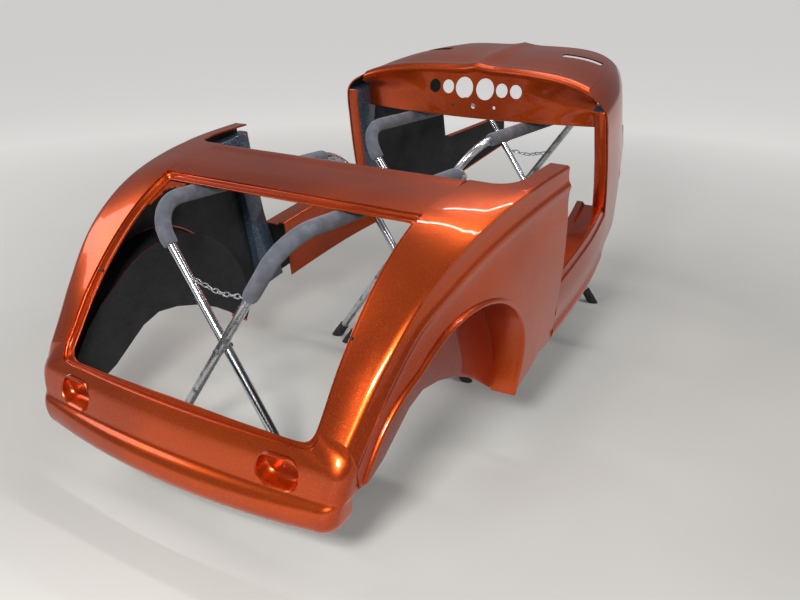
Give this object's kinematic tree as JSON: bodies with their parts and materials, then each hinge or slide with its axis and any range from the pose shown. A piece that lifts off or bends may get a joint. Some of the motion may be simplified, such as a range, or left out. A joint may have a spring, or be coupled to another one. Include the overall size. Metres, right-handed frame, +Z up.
{
  "type": "roadster hot rod body shell on folding stands",
  "caption": "Moulded fibreglass roadster hot rod body shell with open trunk, door openings and cowl, resting level on padded folding shop stands.",
  "frame": {"origin": "centre of the footprint, on the floor that the stands' feet stand on", "axes": "+Y forward along the body from the tail to the cowl, +X to the body's right side, +Z up"},
  "size_m": [1.482, 2.9251, 1.2759],
  "materials": {
    "shell_paint": "metallic copper orange under clear coat",
    "well_paint": "copper orange in shade, thin coat",
    "post_resin": "dark blue-grey speckled resin",
    "stand_tube": "bright plated tube",
    "foam_pad": "grey closed-cell foam sleeve",
    "foot_boot": "black moulded boot",
    "bolt_steel": "zinc plated bolt",
    "chain_steel": "zinc plated chain"
  },
  "bodies": {
    "root": {"quarter_left": "shell_paint", "quarter_right": "shell_paint", "arch_flange_left": "shell_paint", "arch_flange_right": "shell_paint", "well_wall_left": "well_paint", "well_wall_right": "well_paint", "deck_bridge": "shell_paint", "deck_gutter": "shell_paint", "tail_panel": "shell_paint", "lamp_pocket_left": "shell_paint", "lamp_pocket_right": "shell_paint", "filler_flange": "shell_paint", "sill_left": "shell_paint", "sill_right": "shell_paint", "rear_post_left": "post_resin", "rear_post_right": "post_resin", "front_post_left": "post_resin", "front_post_right": "post_resin", "cowl_top": "shell_paint", "cowl_side_left": "shell_paint", "cowl_side_right": "shell_paint", "dash_panel": "shell_paint", "apron_left": "shell_paint", "apron_right": "shell_paint", "rear_frame_a": "stand_tube", "rear_frame_b": "stand_tube", "rear_pad_a": "foam_pad", "rear_pad_b": "foam_pad", "rear_foot_a_rear": "foot_boot", "rear_foot_a_fore": "foot_boot", "rear_foot_b_rear": "foot_boot", "rear_foot_b_fore": "foot_boot", "rear_bolt_rear": "bolt_steel", "rear_bolt_fore": "bolt_steel", "rear_chain": "chain_steel", "front_frame_a": "stand_tube", "front_frame_b": "stand_tube", "front_pad_a": "foam_pad", "front_pad_b": "foam_pad", "front_foot_a_rear": "foot_boot", "front_foot_a_fore": "foot_boot", "front_foot_b_rear": "foot_boot", "front_foot_b_fore": "foot_boot", "front_bolt_rear": "bolt_steel", "front_bolt_fore": "bolt_steel", "front_chain": "chain_steel"}
  },
  "joints": []
}
